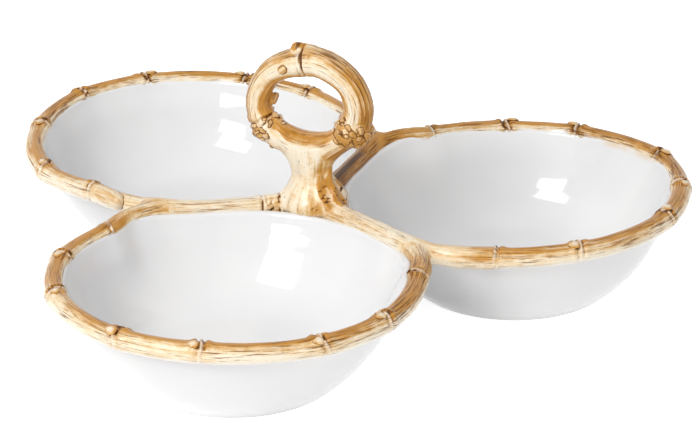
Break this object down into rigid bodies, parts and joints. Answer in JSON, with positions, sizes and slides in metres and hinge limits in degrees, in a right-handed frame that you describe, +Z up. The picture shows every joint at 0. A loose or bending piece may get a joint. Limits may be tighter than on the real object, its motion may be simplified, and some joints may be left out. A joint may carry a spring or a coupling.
{
  "type": "divided serving bowl",
  "caption": "Divided serving server of round white glazed bowls around a central ring handle, with bamboo-shaped canes and knots along the rims and between the bowls.",
  "frame": {"origin": "centre of the footprint on the table", "axes": "+Z up, +X to the right along the ring handle's plane, the front bowl towards -Y"},
  "size_m": [0.3544, 0.3313, 0.1328],
  "materials": {
    "white_glaze": "glossy white glaze",
    "cane_glaze": "hand-painted tan with brown streaks under clear glaze",
    "knot_glaze": "hand-painted brown and cream under clear glaze",
    "stem_glaze": "hand-painted amber and brown under clear glaze"
  },
  "bodies": {
    "root": {"front_bowl": "white_glaze", "right_bowl": "white_glaze", "left_bowl": "white_glaze", "front_cane_1": "cane_glaze", "front_cane_2": "cane_glaze", "front_cane_3": "cane_glaze", "front_cane_4": "cane_glaze", "front_cane_5": "cane_glaze", "front_cane_6": "cane_glaze", "front_cane_7": "cane_glaze", "right_cane_1": "cane_glaze", "right_cane_2": "cane_glaze", "right_cane_3": "cane_glaze", "right_cane_4": "cane_glaze", "right_cane_5": "cane_glaze", "right_cane_6": "cane_glaze", "right_cane_7": "cane_glaze", "left_cane_1": "cane_glaze", "left_cane_2": "cane_glaze", "left_cane_3": "cane_glaze", "left_cane_4": "cane_glaze", "left_cane_5": "cane_glaze", "left_cane_6": "cane_glaze", "left_cane_7": "cane_glaze", "front_knots": "knot_glaze", "right_knots": "knot_glaze", "left_knots": "knot_glaze", "left_fork": "cane_glaze", "right_fork": "cane_glaze", "back_fork": "cane_glaze", "left_divider": "cane_glaze", "right_divider": "cane_glaze", "back_divider": "cane_glaze", "divider_knot": "knot_glaze", "hub": "stem_glaze", "stem": "stem_glaze", "ring_saddle": "cane_glaze", "ring_left_cane": "cane_glaze", "ring_right_cane": "cane_glaze", "ring_top_knot": "knot_glaze", "ring_left_knot": "knot_glaze", "ring_right_knot": "knot_glaze"}
  },
  "joints": []
}
